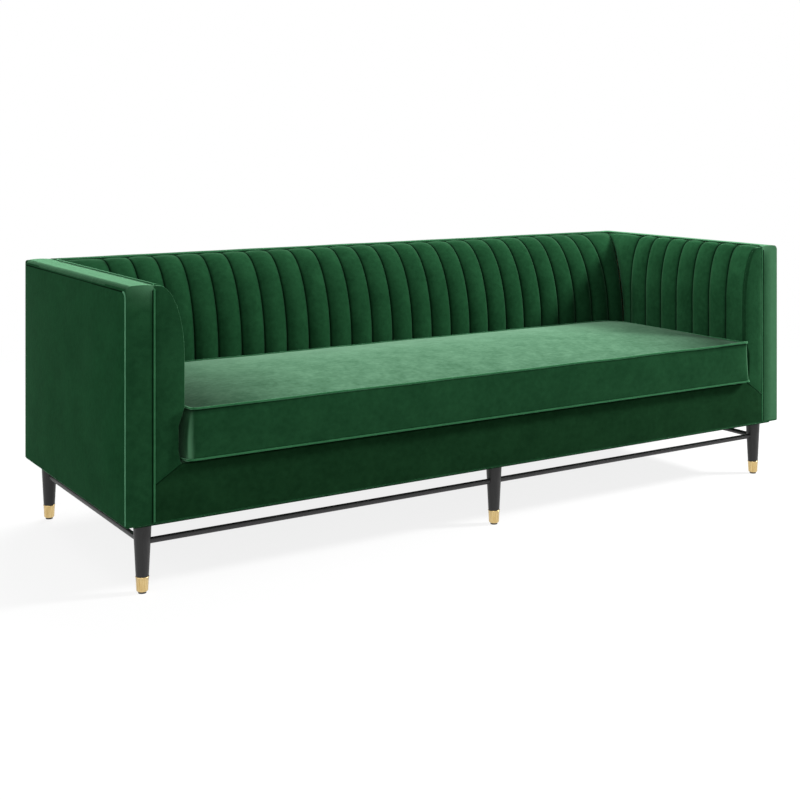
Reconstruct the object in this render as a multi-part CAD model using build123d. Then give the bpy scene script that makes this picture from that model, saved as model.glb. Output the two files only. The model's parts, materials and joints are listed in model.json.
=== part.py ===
from build123d import *
import os
from math import cos, floor, radians, sin, sqrt

# A channel tufted sofa. Millimetres, +X along its length, front towards -Y, +Z up,
# origin on the floor below the middle of its box. Left is the -X side.

# Overall size
overall_length = 2235.0
overall_depth = 825.0  # cushion front to outside back
overall_height = 750.0
cushion_overhang = 5.0  # how far the cushion stands out in front of the arms

# Legs, caps and glides
leg_height = 170.0  # floor to the underside of the base
leg_top_diameter = 45.0
leg_bottom_diameter = 28.0
leg_side_inset = 59.0
leg_front_inset = 50.0
leg_back_inset = 38.0
cap_height = 37.0
cap_wall = 1.5
cap_floor = 2.0
cap_proud = 0.4
glide_diameter = 20.0
glide_height = 4.0
glide_stem_diameter = 4.0
glide_stem_length = 12.0

# Stretcher rods between the legs
stretcher_diameter = 15.0
stretcher_level = 124.0
stretcher_stop = 11.0  # leg axis to the end of a rod

# Leg bolts and their threaded inserts
bolt_diameter = 8.0
bolt_in_leg = 40.0
insert_diameter = 12.0
insert_length = 25.0

# Base and seat frame
plank_thickness = 8.0
plank_width = 75.0
plank_side_inset = 24.0
rail_thickness = 18.0
rail_height = 116.0
block_size = 50.0
screw_diameter = 4.0
screw_head_diameter = 8.0
screw_head_height = 2.5
screw_bite = 12.0  # length of screw in the rail
dust_cover_thickness = 1.5

# Arm and back frame
wall_width = 70.0
cover_thickness = 12.0
lining_thickness = 8.0
post_depth = 50.0
top_rail_height = 50.0
stud_width = 50.0
stud_step = 4  # studs stand this many spring spaces from the middle one

# Seat springs and deck
spring_count = 12
spring_spacing = 150.0
spring_wire = 4.0
spring_loop_step = 36.0  # least distance between neighbouring bars of a spring
spring_bar = 30.0  # straight length of each bar
clip_length = 20.0
clip_depth = 12.0
clip_wall = 1.5
deck_thickness = 12.0

# Covers
arm_corner_radius = 25.0
arm_foot_radius = 11.0
front_edge_radius = 8.0
mitre_drop = 46.0  # fall of the seam between the arm facing and the apron

# Channel pads
channel_pitch = 76.0
channel_rise = 10.0  # height of a channel over its seams
arm_pad_depth = 69.0  # lining to the seam line
back_pad_depth = 160.0
arm_shoulder_level = 560.0  # the pads curve back above these heights
back_shoulder_level = 455.0
pad_edge = 8.0  # depth of a pad along its top
pad_drop = 2.0
arm_front_bay = 86.0  # width of the first channel of an arm
least_bay = 20.0
pad_level_count = 9

# Seat cushion
cushion_edge_height = 129.0  # height between the cushion's two seams
cushion_crown = 13.0
cushion_end_crown = 3.0
cushion_bulge = 4.0  # how far the front and back of the cushion swell
cushion_draw = 4.0  # how far its long sides pull in at the middle
cushion_end_round = 14.0
cushion_end_steps = 3
cushion_crown_steps = 6
cushion_skin = 4.0
cushion_side_gap = 2.0
zip_length = 1500.0
zip_height = 14.0

# Clearances
slip = 0.1  # pins, bolts and rods in their holes
soft_gap = 0.3  # padded pieces to their neighbours

# Planes and levels that the pieces share
half_length = overall_length / 2
front_y = -overall_depth / 2
back_y = overall_depth / 2
body_front_y = front_y + cushion_overhang
frame_front_y = body_front_y + cover_thickness
frame_back_y = back_y - cover_thickness
frame_side_x = half_length - cover_thickness
wall_inner_x = half_length - wall_width
wall_inner_y = back_y - wall_width
post_inner_x = wall_inner_x + lining_thickness
post_inner_y = wall_inner_y + lining_thickness
rail_inner_x = frame_side_x - rail_thickness
rail_front_y = frame_front_y + rail_thickness
rail_back_y = frame_back_y - rail_thickness
base_top_z = leg_height + plank_thickness
rail_top_z = base_top_z + rail_height
frame_top_z = overall_height - cover_thickness
post_top_z = frame_top_z - top_rail_height
clip_height = spring_wire + 2 * clip_wall
deck_underside_z = rail_top_z + clip_height
deck_top_z = deck_underside_z + deck_thickness
pad_top_z = overall_height - pad_drop
pad_face_x = wall_inner_x - arm_pad_depth - channel_rise
pad_face_y = wall_inner_y - back_pad_depth - channel_rise

leg_x = half_length - leg_side_inset
leg_front_y = body_front_y + leg_front_inset
leg_back_y = back_y - leg_back_inset
leg_places = {
    "front_left": (-leg_x, leg_front_y),
    "front_centre": (0.0, leg_front_y),
    "front_right": (leg_x, leg_front_y),
    "back_left": (-leg_x, leg_back_y),
    "back_centre": (0.0, leg_back_y),
    "back_right": (leg_x, leg_back_y),
}


def block(x_range, y_range, z_range):
    ranges = (x_range, y_range, z_range)
    size = [high - low for low, high in ranges]
    middle = [(high + low) / 2 for low, high in ranges]
    return Pos(*middle) * Box(*size)


def rod(start, end, diameter):
    path = Line(start, end)
    plane = Plane(origin=start, z_dir=path % 0)
    return extrude(plane * Circle(diameter / 2), path.length)


def other_side(shape):
    return mirror(shape, about=Plane.YZ)


def save(name, shape):
    os.makedirs("parts", exist_ok=True)
    export_step(shape, f"parts/{name}.step")


def save_pair(name, right_shape):
    save(f"right_{name}", right_shape)
    save(f"left_{name}", other_side(right_shape))


def save_group(name, shapes):
    save(name, Compound(children=list(shapes)))


# Legs


def leg_radius(level):
    share = (level - glide_height) / (leg_height - glide_height)
    return (leg_bottom_diameter + (leg_top_diameter - leg_bottom_diameter) * share) / 2


cap_top_z = glide_height + cap_height
cap_inside_z = glide_height + cap_floor


def turned(points):
    outline = Polyline(*[(radius, 0, level) for radius, level in points], close=True)
    return revolve(make_face(outline), Axis.Z)


def leg_blank():
    inside = cap_wall + slip
    return turned(
        [
            (0, cap_inside_z),
            (leg_radius(cap_inside_z) - inside, cap_inside_z),
            (leg_radius(cap_top_z) - inside, cap_top_z),
            (leg_radius(cap_top_z), cap_top_z),
            (leg_radius(leg_height), leg_height),
            (0, leg_height),
        ]
    )


def leg_cap():
    stem_hole = glide_stem_diameter / 2 + slip
    return turned(
        [
            (stem_hole, glide_height),
            (leg_radius(glide_height) + cap_proud, glide_height),
            (leg_radius(cap_top_z) + cap_proud, cap_top_z),
            (leg_radius(cap_top_z) - cap_wall, cap_top_z),
            (leg_radius(cap_inside_z) - cap_wall, cap_inside_z),
            (stem_hole, cap_inside_z),
        ]
    )


def glide():
    stem_top_z = glide_height + glide_stem_length
    disc = rod((0, 0, 0), (0, 0, glide_height), glide_diameter)
    return disc + rod((0, 0, glide_height), (0, 0, stem_top_z), glide_stem_diameter)


bolt_top_z = base_top_z + insert_length - slip
bolt_bottom_z = leg_height - bolt_in_leg
stem_hole_top_z = glide_height + glide_stem_length + slip
bolt_hole_diameter = bolt_diameter + 2 * slip
stem_hole_diameter = glide_stem_diameter + 2 * slip
socket_diameter = stretcher_diameter + 2 * slip


def leg_at(x, y, directions):
    leg = leg_blank()
    leg -= rod((0, 0, bolt_bottom_z - slip), (0, 0, leg_height), bolt_hole_diameter)
    leg -= rod((0, 0, cap_inside_z), (0, 0, stem_hole_top_z), stem_hole_diameter)
    for along_x, along_y in directions:
        floor_at = stretcher_stop - slip
        start = (along_x * floor_at, along_y * floor_at, stretcher_level)
        end = (along_x * leg_top_diameter, along_y * leg_top_diameter, stretcher_level)
        leg -= rod(start, end, socket_diameter)
    return Pos(x, y, 0) * leg


for place, (x, y) in leg_places.items():
    sockets = []
    if x < leg_x:
        sockets.append((1, 0))
    if x > -leg_x:
        sockets.append((-1, 0))
    if abs(x) == leg_x:
        sockets.append((0, 1 if y < 0 else -1))
    save(f"leg_{place}", leg_at(x, y, sockets))
    save(f"cap_{place}", Pos(x, y, 0) * leg_cap())

save_group("floor_glides", [Pos(x, y, 0) * glide() for x, y in leg_places.values()])


def stretcher(start_place, end_place):
    start = Vector(*leg_places[start_place], stretcher_level)
    end = Vector(*leg_places[end_place], stretcher_level)
    step = (end - start).normalized() * stretcher_stop
    return rod(start + step, end - step, stretcher_diameter)


stretcher_ends = {
    "front_left": ("front_left", "front_centre"),
    "front_right": ("front_centre", "front_right"),
    "back_left": ("back_left", "back_centre"),
    "back_right": ("back_centre", "back_right"),
    "left_side": ("front_left", "back_left"),
    "right_side": ("front_right", "back_right"),
}
for place, ends in stretcher_ends.items():
    save(f"stretcher_{place}", stretcher(*ends))

# Leg bolts run up through the base planks into inserts in the leg blocks


def upright(places, low, high, diameter):
    return [rod((x, y, low), (x, y, high), diameter) for x, y in places]


places = list(leg_places.values())
insert_top_z = base_top_z + insert_length
bolts = upright(places, bolt_bottom_z, bolt_top_z, bolt_diameter)
bolt_holes = upright(places, leg_height, insert_top_z, bolt_hole_diameter)
insert_blanks = upright(places, base_top_z, insert_top_z, insert_diameter)
save_group("leg_bolts", bolts)
save_group("leg_inserts", [blank - hole for blank, hole in zip(insert_blanks, bolt_holes)])

# Base planks and dust cover
plank_outer_x = half_length - plank_side_inset
plank_inner_x = plank_outer_x - plank_width
plank_front_y = frame_front_y + plank_width
plank_back_y = frame_back_y - plank_width
plank_levels = (leg_height, base_top_z)
plank_length = (-plank_outer_x, plank_outer_x)
plank_sides = (plank_front_y, plank_back_y)
save("base_plank_front", block(plank_length, (frame_front_y, plank_front_y), plank_levels) - bolt_holes)
save("base_plank_back", block(plank_length, (plank_back_y, frame_back_y), plank_levels) - bolt_holes)
save_pair("base_plank", block((plank_inner_x, plank_outer_x), plank_sides, plank_levels))
dust_levels = (base_top_z - dust_cover_thickness, base_top_z)
save("dust_cover", block((-plank_inner_x, plank_inner_x), plank_sides, dust_levels))

# Seat rails and leg blocks
rail_levels = (base_top_z, rail_top_z)
block_front_y = rail_front_y + block_size
block_back_y = rail_back_y - block_size
block_inner_x = rail_inner_x - block_size


def leg_block(place):
    x = leg_places[place][0]
    x_range = (-block_size / 2, block_size / 2)
    if x > 0:
        x_range = (block_inner_x, rail_inner_x)
    if x < 0:
        x_range = (-rail_inner_x, -block_inner_x)
    y_range = (rail_front_y, block_front_y)
    if place.startswith("back"):
        y_range = (block_back_y, rail_back_y)
    return block(x_range, y_range, rail_levels)


def block_screws(place):
    middle = leg_block(place).center()
    inward = 1 if place.startswith("front") else -1
    face_y = middle.Y + inward * block_size / 2
    tip_y = face_y - inward * (block_size + screw_bite)
    head_y = face_y + inward * screw_head_height
    screws = []
    for share in (0.5, 0.8):
        level = base_top_z + rail_height * share
        shank = rod((middle.X, face_y, level), (middle.X, tip_y, level), screw_diameter)
        head = rod((middle.X, face_y, level), (middle.X, head_y, level), screw_head_diameter)
        screws.append(shank + head)
    return screws


screws = [screw for place in leg_places for screw in block_screws(place)]
fixings = insert_blanks + screws
save_group("leg_blocks", [leg_block(place) - fixings for place in leg_places])
save_group("block_screws", screws)

rail_between = (-rail_inner_x, rail_inner_x)
save("seat_rail_front", block(rail_between, (frame_front_y, rail_front_y), rail_levels) - fixings)
save("seat_rail_back", block(rail_between, (rail_back_y, frame_back_y), rail_levels) - fixings)
save_pair(
    "seat_rail",
    block((rail_inner_x, frame_side_x), (frame_front_y, frame_back_y), rail_levels) - fixings,
)
save(
    "seat_rail_centre",
    block((-rail_thickness / 2, rail_thickness / 2), (block_front_y, block_back_y), rail_levels) - screws,
)

# Arm and back frame
post_x = (post_inner_x, frame_side_x)
post_levels = (rail_top_z, post_top_z)
top_rail_levels = (post_top_z, frame_top_z)
save_pair("arm_front_post", block(post_x, (frame_front_y, frame_front_y + post_depth), post_levels))
save_pair("arm_rear_post", block(post_x, (post_inner_y, frame_back_y), post_levels))

top_rail = block(post_x, (frame_front_y, frame_back_y), top_rail_levels)
outer_top_edge = top_rail.edges().filter_by(Axis.Y).sort_by(lambda edge: edge.center().X + edge.center().Z)[-1]
save_pair("arm_top_rail", fillet(outer_top_edge, arm_corner_radius - cover_thickness))

back_wall = (post_inner_y, frame_back_y)
save("back_top_rail", block((-post_inner_x, post_inner_x), back_wall, top_rail_levels))
stud = block((-stud_width / 2, stud_width / 2), back_wall, post_levels)
save_group("back_studs", [Pos(side * stud_step * spring_spacing, 0, 0) * stud for side in (-1, 0, 1)])

lining_levels = (deck_underside_z, frame_top_z)
save_pair("arm_lining", block((wall_inner_x, post_inner_x), (frame_front_y, wall_inner_y), lining_levels))
save("back_lining", block((-post_inner_x, post_inner_x), (wall_inner_y, post_inner_y), lining_levels))

# Seat springs: zigzag wires held by clips on the front and back rails
spring_front_y = (frame_front_y + rail_front_y) / 2
spring_back_y = (frame_back_y + rail_back_y) / 2
spring_level = rail_top_z + clip_height / 2
spring_turns = floor((spring_back_y - spring_front_y) / spring_loop_step)
spring_loop_radius = (spring_back_y - spring_front_y) / spring_turns / 2
spring_places = [(index - (spring_count - 1) / 2) * spring_spacing for index in range(spring_count)]


def seat_spring():
    half_bar = spring_bar / 2
    edges = []
    for turn in range(spring_turns + 1):
        side = 1 if turn % 2 == 0 else -1
        y = spring_front_y + 2 * spring_loop_radius * turn
        start = (-side * half_bar, y, spring_level)
        end = (side * half_bar, y, spring_level)
        edges.append(Line(start, end))
        if turn < spring_turns:
            crest = (side * (half_bar + spring_loop_radius), y + spring_loop_radius, spring_level)
            landing = (side * half_bar, y + 2 * spring_loop_radius, spring_level)
            edges.append(ThreePointArc(end, crest, landing))
    path = Wire(edges)
    start_plane = Plane(origin=path @ 0, z_dir=path % 0)
    return sweep(start_plane * Circle(spring_wire / 2), path=path)


def spring_clip(y):
    body = block(
        (-clip_length / 2, clip_length / 2),
        (y - clip_depth / 2, y + clip_depth / 2),
        (rail_top_z, deck_underside_z),
    )
    hole_start = (-clip_length, y, spring_level)
    hole_end = (clip_length, y, spring_level)
    return body - rod(hole_start, hole_end, spring_wire + 2 * slip)


spring = seat_spring()
save_group("seat_springs", [Pos(x, 0, 0) * spring for x in spring_places])
clips = [spring_clip(y) for y in (spring_front_y, spring_back_y)]
save_group("spring_clips", [Pos(x, 0, 0) * clip for x in spring_places for clip in clips])

deck_half = pad_face_x - soft_gap
save(
    "deck_pad",
    block((-deck_half, deck_half), (frame_front_y, pad_face_y - soft_gap), (deck_underside_z, deck_top_z)),
)

# Arm covers: the outer side, top strip and front strip in one sewn shell


def rounded_wall(outer_x, top_z, top_radius, foot_radius):
    corners = [(wall_inner_x, base_top_z), (outer_x, base_top_z), (outer_x, top_z), (wall_inner_x, top_z)]
    face = make_face(Plane.XZ * Polyline(*corners, close=True))
    outer = face.vertices().filter_by(lambda vertex: vertex.X > (wall_inner_x + outer_x) / 2)
    low, high = outer.sort_by(Axis.Z)
    face = fillet(high, top_radius)
    if foot_radius:
        low = face.vertices().sort_by(lambda vertex: vertex.Z - vertex.X)[0]
        face = fillet(low, foot_radius)
    return face


def between(face, y_low, y_high):
    return extrude(Pos(0, y_high, 0) * face, y_high - y_low)


def arm_cover():
    shell = between(rounded_wall(half_length, overall_height, arm_corner_radius, arm_foot_radius),
                    body_front_y, frame_back_y)
    front_face = shell.faces().sort_by(Axis.Y)[0]
    inner_edge = front_face.edges().sort_by(lambda edge: edge.center().X)[0]
    foot_edge = front_face.edges().filter_by(Axis.X).sort_by(Axis.Z)[0]
    outline = [edge for edge in front_face.edges() if edge not in (inner_edge, foot_edge)]
    shell = fillet(outline, front_edge_radius)
    cavity = between(rounded_wall(frame_side_x, frame_top_z, arm_corner_radius - cover_thickness, 0),
                     frame_front_y, frame_back_y)
    return shell - cavity


save_pair("arm_cover", arm_cover())

# Back cover: the outside back with the top strip
back_half = Plane.XZ * Rectangle(2 * half_length, overall_height - base_top_z)
back_face = Pos(0, 0, (overall_height + base_top_z) / 2) * back_half
back_face = fillet(back_face.vertices().group_by(Axis.Z)[-1], arm_corner_radius)
back_face = fillet(back_face.vertices().group_by(Axis.Z)[0], arm_foot_radius)
back_cover = between(back_face, frame_back_y, back_y)
rear_outline = back_cover.faces().sort_by(Axis.Y)[-1].edges()
rear_foot = rear_outline.filter_by(Axis.X).sort_by(Axis.Z)[0]
back_cover = fillet([edge for edge in rear_outline if edge != rear_foot], front_edge_radius)
back_cover += block((-wall_inner_x, wall_inner_x), (wall_inner_y, frame_back_y), (frame_top_z, overall_height))
save("back_cover", back_cover)

# Front apron and the flat facings of the arm pads
facing_foot_z = deck_top_z - mitre_drop
facing_inner_x = wall_inner_x - arm_pad_depth
apron_corners = [
    (-wall_inner_x, base_top_z),
    (wall_inner_x, base_top_z),
    (wall_inner_x, facing_foot_z),
    (facing_inner_x, deck_top_z),
    (-facing_inner_x, deck_top_z),
    (-wall_inner_x, facing_foot_z),
]
apron = make_face(Plane.XZ * Polyline(*apron_corners, close=True))
save("front_apron", between(apron, body_front_y, frame_front_y))

curve_start = (wall_inner_x - pad_edge, pad_top_z)
facing_outline = [
    Line((facing_inner_x, deck_top_z), (wall_inner_x, facing_foot_z)),
    Line((wall_inner_x, facing_foot_z), (wall_inner_x, pad_top_z)),
    Line((wall_inner_x, pad_top_z), curve_start),
    EllipticalCenterArc(
        (wall_inner_x - pad_edge, arm_shoulder_level),
        arm_pad_depth - pad_edge,
        pad_top_z - arm_shoulder_level,
        start_angle=90,
        arc_size=90,
    ),
    Line((facing_inner_x, arm_shoulder_level), (facing_inner_x, deck_top_z)),
]
facing = make_face(Plane.XZ * Curve(children=facing_outline))
save_pair("arm_facing", between(facing, body_front_y, frame_front_y))

# Channel pads: level sections with an arc for each channel, joined by ruled lofts


def seam_depth(level, depth, shoulder_level):
    if level <= shoulder_level:
        return depth
    share = (level - shoulder_level) / (pad_top_z - shoulder_level)
    return pad_edge + (depth - pad_edge) * sqrt(1 - share**2)


def pad_levels():
    rise = pad_top_z - back_shoulder_level
    steps = [radians(90 * index / pad_level_count) for index in range(pad_level_count + 1)]
    return [deck_underside_z] + [back_shoulder_level + rise * sin(step) for step in steps]


def channel_arcs(points, outward, rise):
    arcs = []
    for start, end in zip(points, points[1:]):
        width = (end - start).length
        height = rise * min(1, width / channel_pitch)
        arcs.append(ThreePointArc(start, (start + end) / 2 + outward * height, end))
    return arcs


def back_section(level):
    arm_depth = seam_depth(level, arm_pad_depth, arm_shoulder_level)
    depth = seam_depth(level, back_pad_depth, back_shoulder_level)
    corner_x = wall_inner_x - arm_depth - soft_gap
    end_x = wall_inner_x - soft_gap
    seam_y = wall_inner_y - depth
    reach = floor((pad_face_x - least_bay) / channel_pitch)
    seams = [channel_pitch * index for index in range(-reach, reach + 1)]
    points = [Vector(x, seam_y, level) for x in (-corner_x, *seams, corner_x)]
    rise = channel_rise * sqrt(depth / back_pad_depth)
    left = Vector(-end_x, wall_inner_y, level)
    right = Vector(end_x, wall_inner_y, level)
    edges = channel_arcs(points, Vector(0, -1, 0), rise)
    return Wire(edges + [Line(points[-1], right), Line(right, left), Line(left, points[0])])


def arm_section(level):
    depth = seam_depth(level, arm_pad_depth, arm_shoulder_level)
    back_depth = seam_depth(level, back_pad_depth, back_shoulder_level)
    corner_y = wall_inner_y - back_depth - soft_gap
    end_y = wall_inner_y - soft_gap
    seam_x = wall_inner_x - depth
    first_seam = frame_front_y + arm_front_bay
    count = floor((pad_face_y - least_bay - first_seam) / channel_pitch) + 1
    seams = [first_seam + channel_pitch * index for index in range(count)]
    points = [Vector(seam_x, y, level) for y in (frame_front_y, *seams, corner_y)]
    rise = channel_rise * sqrt(depth / arm_pad_depth)
    rear = Vector(wall_inner_x, end_y, level)
    front = Vector(wall_inner_x, frame_front_y, level)
    edges = channel_arcs(points, Vector(-1, 0, 0), rise)
    return Wire(edges + [Line(points[-1], rear), Line(rear, front), Line(front, points[0])])


save("back_pad", Solid.make_loft([back_section(level) for level in pad_levels()], ruled=True))
save_pair("arm_pad", Solid.make_loft([arm_section(level) for level in pad_levels()], ruled=True))

# Seat cushion: a boxed cover with a crown, lofted from end to end, a foam core and a zip
cushion_end_x = pad_face_x - cushion_side_gap
cushion_underside_z = deck_top_z + soft_gap
cushion_front_y = front_y
cushion_back_y = pad_face_y - cushion_side_gap


def cushion_stations(end):
    # place along X, easing of the rounded end, rise of the crown, draw of the front
    shoulder = end - cushion_end_round
    stations = []
    for index in range(cushion_end_steps):
        angle = radians(90 * index / cushion_end_steps)
        ease = cushion_end_round * (1 - sin(angle))
        stations.append((shoulder + cushion_end_round * cos(angle), ease, cushion_end_crown, 0))
    for index in range(cushion_crown_steps + 1):
        angle = radians(90 * index / cushion_crown_steps)
        crown = cushion_end_crown + (cushion_crown - cushion_end_crown) * sin(angle)
        stations.append((shoulder * cos(angle), 0, crown, cushion_draw * sin(angle)))
    return stations


def cushion_form(inset):
    low = cushion_underside_z + inset
    high = cushion_underside_z + cushion_edge_height - inset
    front = cushion_front_y + cushion_bulge + inset
    back = cushion_back_y - cushion_bulge - inset
    stations = cushion_stations(cushion_end_x - inset)
    sections = []
    for sign, order in ((-1, stations), (1, stations[-2::-1])):
        for x, ease, crown, draw in order:
            sections.append(
                cushion_section(sign * x, low + ease, high - ease, crown, front + draw + ease, back - ease)
            )
    return Solid.make_loft(sections, ruled=True)


def cushion_section(x, low, high, crown, front, back):
    middle_z = (low + high) / 2
    front_low = Vector(x, front, low)
    front_high = Vector(x, front, high)
    back_low = Vector(x, back, low)
    back_high = Vector(x, back, high)
    top = Vector(x, (front + back) / 2, high + crown)
    return Wire(
        [
            Line(front_low, back_low),
            ThreePointArc(back_low, Vector(x, back + cushion_bulge, middle_z), back_high),
            ThreePointArc(back_high, top, front_high),
            ThreePointArc(front_high, Vector(x, front - cushion_bulge, middle_z), front_low),
        ]
    )


zip_level = cushion_underside_z + cushion_edge_height / 2


def zip_strip(gap):
    return block(
        (-zip_length / 2 - gap, zip_length / 2 + gap),
        (cushion_back_y - cushion_skin, cushion_back_y - slip + gap),
        (zip_level - zip_height / 2 - gap, zip_level + zip_height / 2 + gap),
    )


save("seat_cushion_cover", cushion_form(0) - cushion_form(cushion_skin) - zip_strip(slip))
save("seat_cushion_core", cushion_form(cushion_skin + soft_gap))
save("seat_cushion_zip", zip_strip(0))
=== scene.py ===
import bpy
import bmesh
import json
import math
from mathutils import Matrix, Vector, noise


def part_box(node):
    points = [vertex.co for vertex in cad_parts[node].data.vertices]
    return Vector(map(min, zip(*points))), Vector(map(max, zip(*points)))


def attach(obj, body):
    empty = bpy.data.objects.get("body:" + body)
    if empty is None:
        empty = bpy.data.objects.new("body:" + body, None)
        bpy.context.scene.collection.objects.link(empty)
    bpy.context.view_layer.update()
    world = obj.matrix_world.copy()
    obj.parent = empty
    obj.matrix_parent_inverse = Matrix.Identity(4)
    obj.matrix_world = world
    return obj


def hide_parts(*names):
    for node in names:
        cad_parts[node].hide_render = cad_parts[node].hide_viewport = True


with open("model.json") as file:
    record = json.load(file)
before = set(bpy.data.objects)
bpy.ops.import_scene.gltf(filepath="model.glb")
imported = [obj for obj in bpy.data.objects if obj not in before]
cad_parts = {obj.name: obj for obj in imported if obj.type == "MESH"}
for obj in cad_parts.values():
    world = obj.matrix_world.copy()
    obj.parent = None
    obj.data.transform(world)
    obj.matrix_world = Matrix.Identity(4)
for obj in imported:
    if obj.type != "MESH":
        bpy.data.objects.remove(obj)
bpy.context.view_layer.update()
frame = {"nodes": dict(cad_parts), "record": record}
scene = bpy.context.scene
nodes = frame["nodes"]
sides = (("left", -1), ("right", 1))
tolerance = 1e-5

# small helpers


def boxOf(node):
    low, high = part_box(node)
    return Vector(low), Vector(high)


def shownMesh(name, mesh, material, smooth=True):
    for face in mesh.polygons:
        face.use_smooth = smooth
    mesh.materials.clear()
    mesh.materials.append(material)
    piece = bpy.data.objects.new(name, mesh)
    scene.collection.objects.link(piece)
    return piece


def newPiece(name, bm, material, smooth=True):
    bmesh.ops.recalc_face_normals(bm, faces=bm.faces[:])
    mesh = bpy.data.meshes.new(name)
    bm.to_mesh(mesh)
    bm.free()
    return shownMesh(name, mesh, material, smooth)


def declare(piece, body, node=None):
    # hides the frame part that the piece stands for, if one is named, and hangs the piece on the body that
    # carries it
    if node:
        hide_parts(node)
    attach(piece, body)


def paintedLightByFacing(piece, axis, least, material):
    # the faces that look along an axis take another material: a lit or shaded copy of the velvet, so painted
    # light or shade by the way they face
    piece.data.materials.append(material)
    for face in piece.data.polygons:
        if face.normal[axis] * (1 if least > 0 else -1) > abs(least):
            face.material_index = len(piece.data.materials) - 1


def subdivided(piece):
    step = piece.modifiers.new("softer", "SUBSURF")
    step.levels = 1
    step.render_levels = 1
    return piece


def cutAt(bm, axis, place):
    normal = Vector([1.0 if index == axis else 0.0 for index in range(3)])
    geometry = bm.verts[:] + bm.edges[:] + bm.faces[:]
    bmesh.ops.bisect_plane(bm, geom=geometry, plane_co=normal * place, plane_no=normal)


def cutEvery(bm, axis, low, high, size):
    # even slices across one axis, so that a panel can bend
    count = max(1, round((high[axis] - low[axis]) / size))
    for step in range(1, count):
        cutAt(bm, axis, low[axis] + (high[axis] - low[axis]) * step / count)


def boxMesh(low, high):
    bm = bmesh.new()
    bmesh.ops.create_cube(bm, size=1.0)
    bmesh.ops.scale(bm, vec=high - low, verts=bm.verts[:])
    bmesh.ops.translate(bm, vec=(high + low) / 2, verts=bm.verts[:])
    return bm


def edgesOn(bm, *planes):
    # the edges that lie on every plane, each given as an axis and a place on it
    def lies(vertex):
        return all(abs(vertex.co[axis] - place) < tolerance for axis, place in planes)

    return [edge for edge in bm.edges if all(lies(vertex) for vertex in edge.verts)]


def isSharp(edge):
    return len(edge.link_faces) == 2 and edge.calc_face_angle(0.0) > math.radians(50)


def bevelEdges(bm, edges, width, segments):
    bmesh.ops.bevel(bm, geom=edges, offset=width, offset_type="OFFSET", affect="EDGES",
                    segments=segments, profile=0.5, material=-1, clamp_overlap=True)


def bevelSharp(bm, width):
    bevelEdges(bm, [edge for edge in bm.edges if isSharp(edge)], width, 3)


def dome(share, power=4):
    return 1 - abs(2 * share - 1) ** power


def clampShare(value):
    return min(1.0, max(0.0, value))


def shareOf(co, axis, low, high):
    return clampShare((co[axis] - low[axis]) / (high[axis] - low[axis]))


def wobble(point, scale, seed=0.0):
    return noise.noise(Vector(point) * scale + Vector((seed, seed * 1.7, seed * 0.3)))


def tubeAlong(name, points, radius, material, closed=False):
    # a sewn cord: a tube through the points, kept as a mesh
    curve = bpy.data.curves.new(name, "CURVE")
    curve.dimensions = "3D"
    curve.bevel_depth = radius
    curve.bevel_resolution = 3
    curve.use_fill_caps = True
    line = curve.splines.new("POLY")
    line.points.add(len(points) - 1)
    for spot, point in zip(line.points, points):
        spot.co = (*point, 1.0)
    line.use_cyclic_u = closed
    draft = bpy.data.objects.new(name + "Draft", curve)
    scene.collection.objects.link(draft)
    depsgraph = bpy.context.evaluated_depsgraph_get()
    mesh = bpy.data.meshes.new_from_object(draft.evaluated_get(depsgraph))
    bpy.data.objects.remove(draft)
    bpy.data.curves.remove(curve)
    mesh.name = name
    return shownMesh(name, mesh, material)


def stuff(piece, sewn, settings):
    # cloth pressure swells the cover between its sewn lines; each point's travel is capped
    start = [vertex.co.copy() for vertex in piece.data.vertices]
    group = piece.vertex_groups.new(name="sewn")
    group.add(sewn, 1.0, "REPLACE")
    cloth = piece.modifiers.new("stuffing", "CLOTH")
    stretch = settings["stretch"]
    rules = {
        "quality": 5, "mass": 0.25, "tension_stiffness": stretch, "compression_stiffness": stretch,
        "shear_stiffness": stretch / 3, "bending_stiffness": settings["bend"],
        "shrink_min": -settings["slack"], "use_pressure": True,
        "uniform_pressure_force": settings["pressure"], "vertex_group_mass": "sewn",
    }
    for key, value in rules.items():
        setattr(cloth.settings, key, value)
    cloth.settings.effector_weights.gravity = 0.0
    cloth.collision_settings.use_collision = False
    cloth.point_cache.frame_start = 1
    cloth.point_cache.frame_end = settings["frames"]
    for step in range(1, settings["frames"] + 1):
        scene.frame_set(step)
    depsgraph = bpy.context.evaluated_depsgraph_get()
    swollen = bpy.data.meshes.new_from_object(piece.evaluated_get(depsgraph))
    piece.modifiers.clear()
    piece.vertex_groups.clear()
    for vertex, before, after in zip(piece.data.vertices, start, swollen.vertices):
        move = after.co - before
        if move.length > settings["cap"]:
            move *= settings["cap"] / move.length
        vertex.co = before + move
    bpy.data.meshes.remove(swollen)
    scene.frame_set(1)


def relaxed(piece, fixed, passes):
    # evens out the swollen cover between its sewn points
    bm = bmesh.new()
    bm.from_mesh(piece.data)
    held = set(fixed)
    loose = [vertex for vertex in bm.verts if vertex.index not in held]
    for _ in range(passes):
        bmesh.ops.smooth_vert(bm, verts=loose, factor=0.5, use_axis_x=True, use_axis_y=True, use_axis_z=True)
    bm.to_mesh(piece.data)
    bm.free()


def maskPoints(piece, name, shares):
    # a 0 to 1 mask per vertex: one darkens the velvet with painted shade, the other pales it with a painted
    # highlight
    layer = piece.data.attributes.new(name, "FLOAT", "POINT")
    for index, share in enumerate(shares):
        layer.data[index].value = share


# node helpers for the finishes


def setInputs(node, values):
    for key, value in values.items():
        node.inputs[key].default_value = value


def addNode(tree, kind, values=None, **settings):
    made = tree.nodes.new(kind)
    for key, value in settings.items():
        setattr(made, key, value)
    setInputs(made, values or {})
    return made


def wire(tree, source, target):
    tree.links.new(source, target)


def objectPlace(tree):
    return addNode(tree, "ShaderNodeTexCoord").outputs["Object"]


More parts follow.
